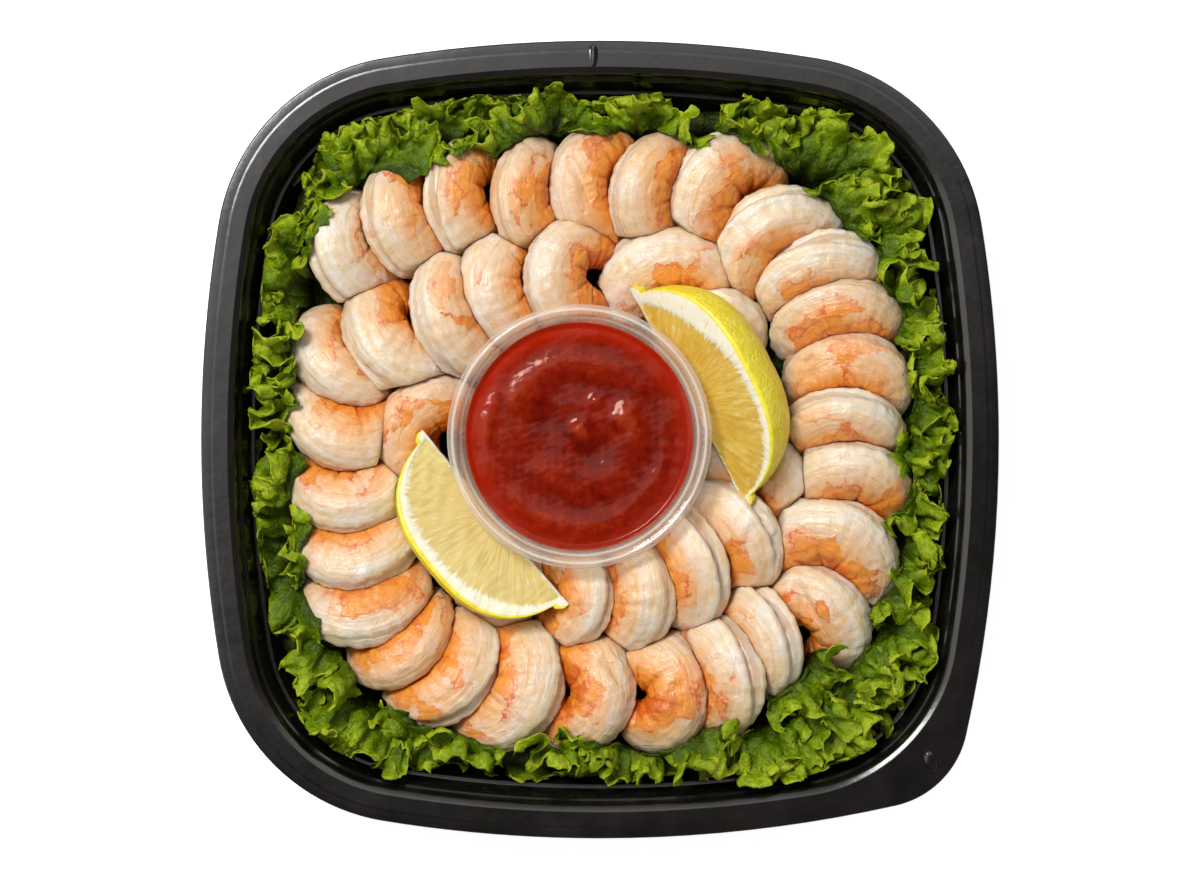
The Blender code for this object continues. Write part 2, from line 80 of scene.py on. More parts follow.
# heading of the tail end, lean from the horizontal, size, openness, depth of the cut back,
# share of the sides that is orange
SHRIMPS = (
    (102, 47, 1, 1, 0.7, 0.2), (102, 47, 1.06, 1.05, 0.4, 0.6), (94, 47, 1.03, 1.05, 1, 0.45),
    (88, 49, 0.98, 1, 0.2, 0.6), (82, 31, 1.07, 1, 0, 0.62), (70, 37, 1.04, 1, 0.2, 0.55),
    (52, 33, 1.12, 1.12, 0.8, 0.35), (26, 35, 1.12, 1.15, 1, 0.35), (8, 45, 1.06, 1.2, 0.9, 0.45),
    (0, 43, 1.06, 1.05, 0.2, 0.45), (-14, 35, 1.06, 1, 0.3, 0.5), (-8, 45, 1, 1.05, 0.5, 0.5),
    (-12, 41, 1.06, 1, 0.3, 0.5), (-26, 29, 1.16, 1.08, 0.4, 0.3), (-44, 39, 1.08, 1, 0.2, 0.35),
    (-72, 51, 1, 1, 1, 0.45), (-80, 49, 1.04, 1.2, 1, 0.45), (-92, 25, 1.06, 0.96, 0.2, 0.45),
    (-100, 29, 1.08, 0.98, 0.1, 0.5), (-120, 31, 1.14, 1.15, 0.4, 0.5),
    (-140, 37, 1.08, 1.15, 0.8, 0.55), (-146, 49, 1, 1, 0.2, 0.6), (-174, 43, 1.06, 1.1, 0.2, 0.5),
    (-178, 39, 1.04, 1.05, 0.3, 0.45), (178, 39, 1.04, 1, 0.2, 0.3), (156, 33, 1.12, 1, 0, 0.35),
    (142, 41, 1.04, 1, 0.2, 0.5), (132, 41, 1.12, 1, 0.2, 0.35), (106, 47, 1.1, 1.1, 0.4, 0.35),
    (100, 37, 1.08, 1, 0, 0.35), (84, 33, 1.04, 1, 0.2, 0.5), (4, 23, 1.12, 1.15, 0.2, 0.35),
    (44, 33, 1, 1, 0, 0.5), (20, 23, 0.95, 1, 0, 0.4), (-40, 27, 0.98, 1, 0, 0.4),
    (-62, 43, 1.1, 1.05, 0.2, 0.35), (-76, 49, 1.08, 1.05, 1, 0.45), (-88, 47, 1.06, 1, 0.2, 0.5),
    (-96, 39, 0.95, 1, 0.5, 0.5), (-122, 23, 0.89, 1, 0, 0.5),
)
BODY_STATIONS = 88
BODY_SIDES = 52
PRESS_STEPS = 6
PRESS_GAP = 0.3  # left to the cup and the wedges
PRESS_SHARE = 0.55  # of an overlap that a step takes away on each of two shrimps
LEAST_REACH = 0.12  # of the round body that pressing leaves
SHRIMP_NEAR = 46.0  # middles of shrimps that can touch are closer than this
OVERLAP = 2.4  # how far a shrimp that lies on another keeps its own round there

# node, middle of the core line, bearing, tilt of the upper cut face, angle between the faces,
# length, radius, growth of the pith towards the outer pole, paleness of the flesh
LEMONS = (
    ("lemon_right", 25.4, 12, 33.4, -62, 46, 54, 72, 26.5, 2.8, 0),
    ("lemon_left", -30.2, -22.4, 35.4, 130, 20, 44, 66, 25, 0.7, 1),
)
CUP_RIM_RADIUS = 38.0

TURN = 2.0 * math.pi
UP = np.array((0.0, 0.0, 1.0))


# ---- meshes

def add_piece(name, points, faces, material, slot, nodes=(), marks=None):
    """A closed piece from points in millimetres; marks are values at its points for materials."""
    mesh = bpy.data.meshes.new(name)
    mesh.from_pydata((0.001 * points).tolist(), [], faces)
    for key, values in (marks or {}).items():
        attribute = mesh.attributes.new(key, "FLOAT", "POINT")
        attribute.data.foreach_set("value", np.asarray(values, dtype=np.float32).ravel())
    work = bmesh.new()
    work.from_mesh(mesh)
    bmesh.ops.recalc_face_normals(work, faces=work.faces)
    work.to_mesh(mesh)
    work.free()
    mesh.materials.append(material)
    mesh.shade_smooth()
    piece = bpy.data.objects.new(name, mesh)
    bpy.context.collection.objects.link(piece)
    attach(piece, "root")
    if nodes:
        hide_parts(*nodes)


def grid_faces(rows, columns, wrap=True, start=0):
    """Quads over a grid of points, closed round its columns where wrap is set."""
    row = np.arange(rows - 1)[:, None] * columns
    column = np.arange(columns if wrap else columns - 1)[None]
    after = (column + 1) % columns
    quads = (row + column, row + after, row + columns + after, row + columns + column)
    return (np.stack(quads, -1).reshape(-1, 4) + start).tolist()


def loft(grid, closed=False):
    """Points and faces of a skin over loops, capped at both ends unless the loops close."""
    rows, columns = grid.shape[:2]
    points = grid.reshape(-1, 3)
    if closed:
        return points, (np.array(grid_faces(rows + 1, columns)) % len(points)).tolist()
    caps = [list(range(columns)), list(range(len(points) - columns, len(points)))]
    return points, grid_faces(rows, columns) + caps


def join(*parts):
    """Points, or other rows of values, from the arrays of their parts."""
    return np.stack(np.broadcast_arrays(*parts), -1)


def toward(turn):
    """The level direction at a bearing in radians."""
    return np.array((math.cos(turn), math.sin(turn), 0.0))


def left_of(way):
    """The level direction a quarter turn on from another."""
    return join(-way[..., 1], way[..., 0], 0.0)


def all_round(count):
    """Bearings, in radians, of points spaced evenly round a circle."""
    return TURN * np.arange(count) / count


def thicken(grid, thickness):
    """A closed sheet of the given thickness over an open grid of points."""
    rows, columns = grid.shape[:2]
    normal = np.cross(np.gradient(grid, axis=0), np.gradient(grid, axis=1))
    normal = normal / np.maximum(np.linalg.norm(normal, axis=2, keepdims=True), 1e-9)
    step = 0.5 * thickness[..., None] * normal
    points = np.concatenate([(grid + step).reshape(-1, 3), (grid - step).reshape(-1, 3)])
    count = rows * columns
    faces = grid_faces(rows, columns, wrap=False)
    faces += [quad[::-1] for quad in grid_faces(rows, columns, wrap=False, start=count)]
    index = np.arange(count).reshape(rows, columns)
    edge = np.concatenate([index[0], index[1:, -1], index[-1, -2::-1], index[-2:0:-1, 0]])
    after = np.roll(edge, -1)
    return points, faces + np.stack([after, edge, edge + count, after + count], -1).tolist()


def waves(points, wavelength, seed, count=9):
    """A smooth random field between about -1 and 1, made of plane waves."""
    rng = np.random.default_rng(seed)
    total = np.zeros(points.shape[:-1])
    for _ in range(count):
        direction = rng.normal(size=points.shape[-1])
        direction *= TURN / (wavelength * np.linalg.norm(direction))
        direction *= rng.uniform(0.7, 1.4)
        total += np.sin(points @ direction + rng.uniform(0.0, TURN))
    return total / math.sqrt(0.5 * count) * 0.6


def smooth(value, low, high):
    """0 at low and 1 at high, with a smooth turn between them."""
    share = np.clip((value - low) / (high - low), 0.0, 1.0)
    return share * share * (3.0 - 2.0 * share)


# ---- materials

def linear(*channels):
    """A picture's colour as linear light."""
    shares = [channel / 255.0 for channel in channels]
    return (*(share / 12.92 if share <= 0.04045 else ((share + 0.055) / 1.055) ** 2.4
              for share in shares), 1.0)


def light(*channels):
    """A colour whose channels are linear light already."""
    return (*channels, 1.0)


class Nodes:
    """A node tree whose nodes are added and linked in short calls."""

    def __init__(self, tree):
        self.tree = tree

    def node(self, kind, inputs=None, **settings):
        node = self.tree.nodes.new(kind)
        for key, value in settings.items():
            setattr(node, key, value)
        for key, value in (inputs or {}).items():
            if isinstance(value, bpy.types.NodeSocket):
                self.tree.links.new(value, node.inputs[key])
            else:
                node.inputs[key].default_value = value
        return node

    def place(self):
        return self.node("ShaderNodeTexCoord").outputs["Object"]

    def mark(self, name):
        return self.node("ShaderNodeAttribute", attribute_name=name).outputs["Fac"]

    def noise(self, scale, detail=3.0, roughness=0.55, distortion=0.0, vector=None):
        inputs = {"Vector": vector or self.place(), "Scale": scale, "Detail": detail,
                  "Roughness": roughness, "Distortion": distortion}
        return self.node("ShaderNodeTexNoise", inputs).outputs["Fac"]

    def math(self, operation, first, second=0.0):
        return self.node("ShaderNodeMath", {0: first, 1: second}, operation=operation).outputs[0]

    def times(self, first, second):
        return self.math("MULTIPLY", first, second)

    def plus(self, first, *terms):
        """The first value plus others, each given with its weight."""
        for value, weight in terms:
            first = self.math("ADD", first, self.times(value, weight))
        return first

    def vector(self, operation, *values):
        inputs = dict(enumerate(values))
        return self.node("ShaderNodeVectorMath", inputs, operation=operation).outputs[0]

    def combine(self, x, y, z=0.0):
        return self.node("ShaderNodeCombineXYZ", {"X": x, "Y": y, "Z": z}).outputs["Vector"]

    def span(self, value, low, high, start=0.0, end=1.0):
        inputs = {"Value": value, "From Min": low, "From Max": high, "To Min": start, "To Max": end}
        return self.node("ShaderNodeMapRange", inputs).outputs["Result"]

    def ramp(self, value, *stops, encode=linear):
        """A blend over stops, each a place and the channels of its colour."""
        node = self.node("ShaderNodeValToRGB", {"Fac": value})
        elements = node.color_ramp.elements
        while len(elements) < len(stops):
            elements.new(0.5)
        for element, (place, *channels) in zip(elements, stops):
            element.position, element.color = place, encode(*channels)
        return node.outputs["Color"]

    def mix(self, factor, *ends):
        """A blend of two ends, each a socket or a picture's colour."""
        first, second = (linear(*end) if isinstance(end, tuple) else end for end in ends)
        inputs = {"Factor": factor, 6: first, 7: second}
        return self.node("ShaderNodeMix", inputs, data_type="RGBA").outputs[2]


class Shader(Nodes):
    """The nodes of a Principled material."""

    def __init__(self, name, **values):
        self.material = bpy.data.materials.new(name)
        self.material.use_nodes = True
        super().__init__(self.material.node_tree)
        self.surface = self.tree.nodes["Principled BSDF"]
        for key, value in values.items():
            self.surface.inputs[key.replace("_", " ")].default_value = value

    def set(self, name, source):
        self.tree.links.new(source, self.surface.inputs[name])

    def bump(self, height, distance, strength):
        inputs = {"Height": height, "Distance": distance, "Strength": strength}
        normal = self.node("ShaderNodeBump", inputs).outputs["Normal"]
        self.set("Normal", normal)
        self.set("Coat Normal", normal)


def glow(weight, scale, *radius):
    """Values of a material that light passes into."""
    return {"Subsurface_Weight": weight, "Subsurface_Scale": scale, "Subsurface_Radius": radius}


PATCH_SCALE = 1.15  # pigment patches to a unit of the marks along and around a body
PATCH_BRINK = 0.72  # level of the pigment at a patch's outline


def tray_material():
    look = Shader("black_plastic", Specular_IOR_Level=0.5)
    cloud = look.noise(90.0, 4.0)
    look.set("Base Color", look.ramp(cloud, (0.3, 0.006, 0.005, 0.004),
                                     (0.7, 0.011, 0.009, 0.008), encode=light))
    look.set("Roughness", look.span(cloud, 0.3, 0.75, 0.13, 0.22))
    look.bump(look.noise(260.0, 2.0), 0.0002, 0.2)
    return look.material


def cup_material():
    """Clear between its beads, where the plastic is seen edge on and is drawn nearly opaque and white
    as painted highlight.
    """
    look = Shader("clear_plastic", IOR=1.45, Transmission_Weight=0.45, Specular_IOR_Level=0.8)
    haze = look.noise(160.0, 3.0)
    # Near-opaque white along the beads: painted highlight lines of the rolled rim.
    look.set("Alpha", look.span(look.mark("bead"), 0.0, 1.0, 0.3, 0.92))
    look.set("Roughness", look.span(haze, 0.3, 0.7, 0.03, 0.09))
    look.set("Base Color", look.ramp(haze, (0.3, 252, 232, 212), (0.7, 255, 243, 230)))
    return look.material


def sauce_material():
    """Deep red, painted sheen on its crests, and a brighter thin edge at the cup's wall, partly
    painted light.
    """
    look = Shader("cocktail_sauce", **glow(0.2, 0.002, 1.0, 0.15, 0.05), Specular_IOR_Level=0.22,
                  Specular_Tint=(1.0, 0.74, 0.64, 1.0))
    rim, crest = look.mark("rim"), look.mark("crest")
    grain = look.noise(330.0, 5.0, 0.65)
    # The crest mark makes high relief lighter and browner: painted sheen.
    tone = look.plus(look.times(grain, 0.6), (crest, 0.5))
    deep = look.ramp(tone, (0.25, 96, 8, 1), (0.46, 132, 26, 6), (0.62, 156, 50, 20),
                     (0.95, 172, 78, 48))
    # Orange at the thin edge: the thin layer's own colour, made stronger towards the lamp as painted
    # light.
    look.set("Base Color", look.mix(rim, deep, (176, 32, 2)))
    look.set("Roughness", look.span(grain, 0.3, 0.8, 0.05, 0.13))
    look.bump(look.noise(420.0, 4.0, 0.6), 0.0003, 0.25)
    return look.material


def shrimp_material():
    """Cream back, peach flanks, and pigment patches with strong orange outlines."""
    look = Shader("shrimp", **glow(0.32, 0.003, 1.0, 0.62, 0.36), Coat_Weight=0.22,
                  Coat_Roughness=0.12)
    along, around, inner = look.mark("along"), look.mark("around"), look.mark("inner")
    body = look.combine(along, around, look.mark("seed"))
    wander = look.node("ShaderNodeTexNoise", {"Vector": body, "Scale": 2.6, "Detail": 4.0,
                                              "Roughness": 0.6}).outputs["Color"]
    bent = look.vector("SUBTRACT", wander, (0.5, 0.5, 0.5))
    bent = look.vector("MULTIPLY_ADD", bent, (0.75, 0.75, 0.0), body)
    patches = {"Vector": bent, "Scale": PATCH_SCALE}
    cells = look.node("ShaderNodeTexVoronoi", patches).outputs["Color"]
    lot = look.node("ShaderNodeSeparateColor", {"Color": cells}).outputs["Red"]
    edges = look.node("ShaderNodeTexVoronoi", patches, feature="DISTANCE_TO_EDGE")
    blot = look.noise(120.0, 6.0, 0.62, 0.3)
    fine = look.noise(420.0, 4.0, 0.6)
    field = look.plus(inner, (lot, 0.34), (blot, 0.55))
    fibre = look.noise(1.0, vector=look.vector("MULTIPLY", body, (1.1, 6.5, 1.0)))
    cream = look.ramp(look.plus(look.times(fibre, 0.5), (blot, 0.5)), (0.3, 222, 182, 128),
                      (0.46, 229, 206, 172), (0.62, 230, 223, 212))
    color = look.mix(look.span(inner, -0.03, 0.46), cream, (232, 152, 54))
    pigment = look.ramp(field, (0.58, 234, 164, 70), (0.73, 232, 132, 20), (0.85, 234, 150, 50),
                        (1.0, 212, 98, 6))
    color = look.mix(look.span(field, 0.59, 0.8, 0.0, 0.92), color, pigment)
    torn = look.span(look.noise(90.0), 0.44, 0.6)
    brink = look.math("ABSOLUTE", look.math("SUBTRACT", field, PATCH_BRINK))
    brink = look.times(look.span(brink, 0.0, 0.024, 0.95, 0.0), torn)
    color = look.mix(brink, color, (204, 82, 12))
    line = look.span(edges.outputs["Distance"], 0.0, 0.05, 0.8, 0.0)
    line = look.times(line, look.span(field, 0.52, 0.72))
    line = look.times(line, look.span(blot, 0.44, 0.58))
    color = look.mix(line, color, (206, 88, 14))
    # Orange-brown where neighbours press on the belly and in the cut back's slit is painted shade; the
    # orange lines at the segment seams are the flesh's own colour.
    look.set("Base Color", look.mix(look.mark("fold"), color, (196, 86, 20)))
    look.set("Roughness", look.span(fine, 0.3, 0.7, 0.3, 0.52))
    height = look.plus(look.times(fine, 0.55), (fibre, 0.55), (blot, 0.6))
    look.bump(height, 0.0014, 0.6)
    return look.material


def lettuce_material():
    """Dark with painted shade down in the folds, paler towards the frilled margin, with veins and
    blisters.
    """
    look = Shader("lettuce", **glow(0.18, 0.001, 0.5, 1.0, 0.1), Specular_IOR_Level=0.24)
    edge = look.mark("edge")
    ribs = look.combine(look.mark("run"), edge)
    vein = look.noise(1.0, 2.0, 0.5, 0.4, vector=ribs)
    cloud = look.noise(150.0, 6.0, 0.65)
    blister = look.noise(480.0, 3.0, 0.6, 0.4)
    # Colour runs dark from the margin down to the foot: the darkness deep in the heap is painted
    # shade, the paler margin is the leaf's own colour.
    tone = look.plus(edge, (look.math("SUBTRACT", cloud, 0.5), 0.9))
    tone = look.plus(tone, (look.math("SUBTRACT", blister, 0.5), 0.5))
    leaf = look.ramp(tone, (0.0, 38, 48, 1), (0.34, 56, 76, 1), (0.62, 90, 116, 2),
                     (0.86, 128, 152, 6), (1.0, 166, 182, 34))
    vein_share = look.span(vein, 0.6, 0.72, 0.0, 0.3)
    look.set("Base Color", look.mix(vein_share, leaf, (132, 148, 40)))
    look.set("Roughness", look.span(cloud, 0.3, 0.7, 0.32, 0.5))
    relief = look.plus(look.times(blister, 1.2), (vein, 0.5))
    look.bump(look.math("ADD", relief, cloud), 0.0016, 0.7)
    return look.material


def lemon_material():
    """Juice sacs that fan out from the core line, ragged white pith, and pored zest."""
    look = Shader("lemon", **glow(0.35, 0.003, 1.0, 0.7, 0.15), Coat_Weight=0.15,
                  Coat_Roughness=0.15)
    rind, pith, peel = look.mark("rind"), look.mark("pith"), look.mark("peel")
    cells = look.combine(look.mark("fan"), look.mark("depth"))
    sacs = look.noise(1.0, 3.0, 0.5, 0.3, vector=cells)
    threads = look.noise(2.4, 2.0, 0.5, vector=cells)
    cloud = look.noise(70.0)
    flesh = look.ramp(look.plus(look.times(sacs, 0.5), (cloud, 0.5)), (0.28, 204, 156, 46),
                      (0.48, 216, 176, 64), (0.62, 228, 196, 92), (0.8, 242, 222, 142))
    flesh = look.mix(look.times(look.mark("pale"), 0.55), flesh, (226, 214, 150))
    start = look.math("ADD", pith, look.span(threads, 0.25, 0.75, -0.55, 0.55))
    white = look.mix(look.span(start, 0.25, 0.85), flesh, (248, 243, 220))
    mottle = look.noise(240.0, 4.0, 0.6)
    zest = look.mix(look.span(mottle, 0.3, 0.7), (236, 214, 16), (252, 240, 76))
    color = look.mix(look.span(peel, 0.2, 0.85), white, zest)
    look.set("Base Color", look.mix(rind, color, zest))
    look.set("Roughness", look.span(rind, 0.0, 1.0, 0.24, 0.36))
    pores = look.node("ShaderNodeTexVoronoi", {"Vector": look.place(), "Scale": 680.0})
    dimples = look.span(pores.outputs["Distance"], 0.0, 0.6, 0.0, 0.8)
    wet = look.times(sacs, look.math("SUBTRACT", 1.0, rind))
    look.bump(look.math("ADD", look.times(dimples, rind), wet), 0.0005, 0.6)
    return look.material


# ---- tray

def corner_arc(diagonal):
    """Centre offset, radius and first angle of a corner arc that runs on from the side arcs."""
    rest = SIDE_RADIUS - diagonal
    offset = (rest ** 2 - SIDE_REACH ** 2) / (2.0 * SIDE_REACH - 2.0 * math.sqrt(2.0) * rest)
    return offset, diagonal - math.sqrt(2.0) * offset, math.atan2(offset, offset + SIDE_REACH)


def quarter_outline(inset, diagonal, side_steps=10, corner_steps=22):
    """Outline points of one quadrant, from the middle of one side up to the next."""
    offset, radius, start = corner_arc(diagonal)
    side = SIDE_RADIUS - inset
    turns = start * np.arange(side_steps) / side_steps
    first = join(side * np.cos(turns) - SIDE_REACH, side * np.sin(turns))
    turns = start + (0.5 * math.pi - 2.0 * start) * np.arange(corner_steps + 1) / corner_steps
    corner = offset + (radius - inset) * join(np.cos(turns), np.sin(turns))
    return np.concatenate([first, corner, first[:0:-1, ::-1]])


def outline(inset, height, with_tab):
    loop = []
    for quadrant in range(4):
        diagonal = TAB_DIAGONAL if with_tab and quadrant == TAB_QUADRANT else CORNER_DIAGONAL
        cos, sin = (1, 0, -1, 0)[quadrant], (0, 1, 0, -1)[quadrant]
        x, y = quarter_outline(inset, diagonal).T
        loop.append(join(cos * x - sin * y, sin * x + cos * y, height))
    return np.concatenate(loop)


def inset_of(x, y):
    """How far points lie inside the outline without its tab."""
    offset, radius, start = corner_arc(CORNER_DIAGONAL)
    x, y = np.abs(x), np.abs(y)
    side = SIDE_RADIUS - np.maximum(np.hypot(x + SIDE_REACH, y), np.hypot(x, y + SIDE_REACH))
    turn = np.arctan2(y - offset, x - offset)
    in_corner = (turn > start) & (turn < 0.5 * math.pi - start)
    return np.where(in_corner, radius - np.hypot(x - offset, y - offset), side)


def outline_reach(turn):
    """Distance from the centre to the outline at bearings in radians."""
    low, high = np.zeros_like(turn), np.full_like(turn, TAB_DIAGONAL)
    for _ in range(24):
        middle = 0.5 * (low + high)
        inside = inset_of(middle * np.cos(turn), middle * np.sin(turn)) > 0.0
        low, high = np.where(inside, middle, low), np.where(inside, high, middle)
    return low


# (inset from the outline, height): up the inside and over the rim
TRAY_INSIDE = (
    (60, FLOOR_TOP), (25, FLOOR_TOP), (22.6, 1.3), (19.8, 2.3), (17.8, 4), (17, 5.6), (13.85, 22.6),
    (13.7, 23.2), (13.6, 23.4), (13.5, 23.46), (13.4, 23.47), (12.6, 23.48), (12.5, 23.5),
    (12.25, 23.7), (11.95, 24.4), (10.95, 32.3), (10.8, 33.1), (10.55, 33.4), (10.15, 33.5),
    (9.9, 33.75), (9.8, 34.4), (9.6, 38.3), (9.5, 38.9), (9.35, 39.25), (9.15, 39.44),
    (8.95, 39.55), (7.95, 39.93), (7.8, 39.98), (7.65, RIM_HEIGHT), (7.5, RIM_HEIGHT),
    (5.6, RIM_HEIGHT),
)
# round the flange's lip, which follows the tab
TRAY_LIP = (
    (3.75, RIM_HEIGHT), (3.65, RIM_HEIGHT), (3.4, 39.99), (3.1, 39.955), (2.85, 39.93),
    (2.75, 39.93), (0.55, 39.93), (0.4, 39.91), (0.15, 39.78), (0, 39.5), (0, 35), (1, 35),
    (1.2, 37), (1.8, 38.1), (3.4, 38.4),
)
# down the outside and in under the floor
TRAY_OUTSIDE = (
    (6.4, 38.8), (7.6, 38), (11.2, 22.4), (15.8, 4.4), (17.6, 1.8), (20.4, 0.2), (22, 0), (60, 0),
)


def build_tray(material):
    loops = [outline(*row, with_tab=rows is TRAY_LIP)
             for rows in (TRAY_INSIDE, TRAY_LIP, TRAY_OUTSIDE) for row in rows]
    add_piece("deli_tray", *loft(np.array(loops)), material, "tray_plastic", ["tray"])


def pill(length, width, height, steps=24, rings=7):
    """A rounded bead lying along X, as loops from its foot to its crown."""
    turn = all_round(steps)
    loops = []
    for angle in 0.5 * math.pi * np.linspace(0.0, 0.97, rings):
        half = 0.5 * width * math.cos(angle)
        loops.append(join((0.5 * (length - width) + half) * np.cos(turn), half * np.sin(turn),
                          height * math.sin(angle)))
    return np.array(loops)


def put(grid, x, y, z, bearing):
    """Points turned about Z, then moved."""
    along = toward(math.radians(bearing))
    return grid @ np.array((along, left_of(along), UP)) + (x, y, z)


def build_tray_marks(material):
    """The small nub beside the tab and the moulded rib across the rim."""
    nub = put(pill(6.8, 3.6, 1.3), 95.2, -92.6, RIM_HEIGHT - 0.3, 112.0)
    add_piece("tray_nub", *loft(nub), material, "tray_plastic")
    rib = put(pill(7.4, 3.0, 0.9), -2.0, 110.7, RIM_HEIGHT - 0.25, 90.0)
    rib[..., 2] -= 0.35 * np.exp(-((rib[..., 0] + 2.7) / 0.35) ** 2)
    add_piece("tray_rib", *loft(rib), material, "tray_plastic")


# ---- cup and sauce

# (radius, height above the cup's base) from the middle of the inner floor over the rim and down
CUP_PROFILE = (
    (1, 0.8), (24, 0.8), (24.6, 1.3), (32.7, 37.9), (33, 38.5), (33.7, 38.8), (34.3, 39.1),
    (34.5, 40), (34.75, 42.4), (35, 43), (35.4, 43.3), (36, 43.35), (36.3, 43.55), (36.6, 43.55),
    (36.9, 43.3), (37.3, 43.1), (37.7, 42.85), (37.95, 42.4), (37.95, 41.6), (37.5, 41.4),
    (37.2, 41.8), (36.4, 42.2), (35.8, 41.8), (35.2, 38.4), (34.4, 38), (33.8, 37.6), (25.9, 0.4),
    (25.4, 0), (1, 0),
)
CUP_BEADS = (34.4, 36.4, 37.95)
BEAD_WIDTH = 0.28
BEADS_FROM = 37.0  # height above the cup's base


def build_cup(material):
    turn = all_round(CUP_SIDES)
    cos, sin = np.cos(turn), np.sin(turn)
    grid = [join(radius * cos + CUP_X, radius * sin + CUP_Y, CUP_BASE + height)
            for radius, height in CUP_PROFILE]
    radius, height = np.array(CUP_PROFILE).T
    # The beads' mask for the painted highlight lines along the rim.
    bead = sum(np.exp(-((radius - middle) / BEAD_WIDTH) ** 2) for middle in CUP_BEADS)
    bead = np.clip(bead * (height > BEADS_FROM), 0.0, 1.0)
    add_piece("sauce_cup", *loft(np.array(grid)), material, "clear_plastic", ["cup"],
              {"bead": np.repeat(bead, CUP_SIDES)})


def ridge(x, y, radius, height, half_width, bearing, spread):
    """A curved crest: an arc round the cup's middle, fading at both of its ends."""
    away, turn = np.hypot(x, y), np.degrees(np.arctan2(y, x))
    along = (turn - bearing + 180.0) % 360.0 - 180.0
    return height * np.exp(-((away - radius) / half_width) ** 2 - (along / spread) ** 4)


def lump(x, y, at_x, at_y, height, width):
    return height * np.exp(-((x - at_x) ** 2 + (y - at_y) ** 2) / width ** 2)


def sauce_relief(x, y):
    """Stirred crests, dents and lumps of the sauce's surface."""
    away = np.hypot(x, y) / SAUCE_RADIUS
    turn = np.arctan2(y, x)
    relief = 0.24 * np.sin(turn + 5.2 * away + 1.0) * np.sin(math.pi * away)
    relief += ridge(x, y, 21.0, 0.45, 3.6, 100.0, 66.0) - ridge(x, y, 26.5, 0.2, 2.6, 110.0, 60.0)
    relief += ridge(x, y, 26.0, 0.4, 2.6, -110.0, 50.0) - ridge(x, y, 20.0, 0.3, 3.4, -118.0, 56.0)
    relief += ridge(x, y, 27.0, 0.45, 1.9, 172.0, 24.0) + ridge(x, y, 16.0, 0.7, 2.2, 16.0, 24.0)
    relief += ridge(x, y, 25.0, 0.3, 2.0, -28.0, 34.0)
    relief += lump(x, y, -0.4, 2.2, 1.3, 2.1) + lump(x, y, 1.2, -0.4, 0.6, 1.5)
    relief += lump(x, y, 4.6, 10.4, 0.8, 1.7) + lump(x, y, 12.2, 5.6, 0.9, 2.4)
    relief -= lump(x, y, 4.0, -5.0, 0.9, 5.6) + lump(x, y, -10.0, 5.0, 0.6, 4.2)
    plane = join(x, y, 0.0)
    relief += 0.1 * waves(plane, 13.0, 3) + 0.035 * waves(plane, 5.0, 4) + 0.022 * waves(plane, 2.4, 5)
    return relief * smooth(away, 1.0, 0.82) + 0.9 * smooth(away, 0.955, 1.0) - 0.3


def build_sauce(material, rings=84, sides=280):
    shares = np.linspace(0.012, 1.0, rings)
    turn = all_round(sides)
    cos, sin = np.cos(turn), np.sin(turn)
    x, y = SAUCE_RADIUS * shares[:, None] * cos, SAUCE_RADIUS * shares[:, None] * sin
    relief = sauce_relief(x, y)
    loops = [join(x, y, SAUCE_LEVEL + relief)]
    for height in (30.0, 15.0, 0.75):
        radius = SAUCE_RADIUS - SAUCE_TAPER * (SAUCE_LEVEL - height)
        loops.append(join(radius * cos, radius * sin, height)[None])
    under = len(loops) - 1
    rim = np.concatenate([smooth(shares, 0.74, 0.97), np.ones(under)])
    # The thin edge is lighter all round, the sauce's own colour where it thins; its extra strength
    # towards the back left, where the lamp stands, is painted light.
    rim = rim[:, None] * (0.55 + 0.3 * np.sin(turn - 0.4))
    # Crest mark from the relief: higher parts get a lighter, browner colour as painted sheen.
    crest = np.pad(np.clip(0.35 + 0.5 * relief, 0.0, 1.0), ((0, under), (0, 0)))
    add_piece("stirred_sauce", *loft(np.concatenate(loops) + (CUP_X, CUP_Y, CUP_BASE)), material,
              "cocktail_sauce", ["sauce"], {"rim": rim, "crest": crest})


# ---- shrimps

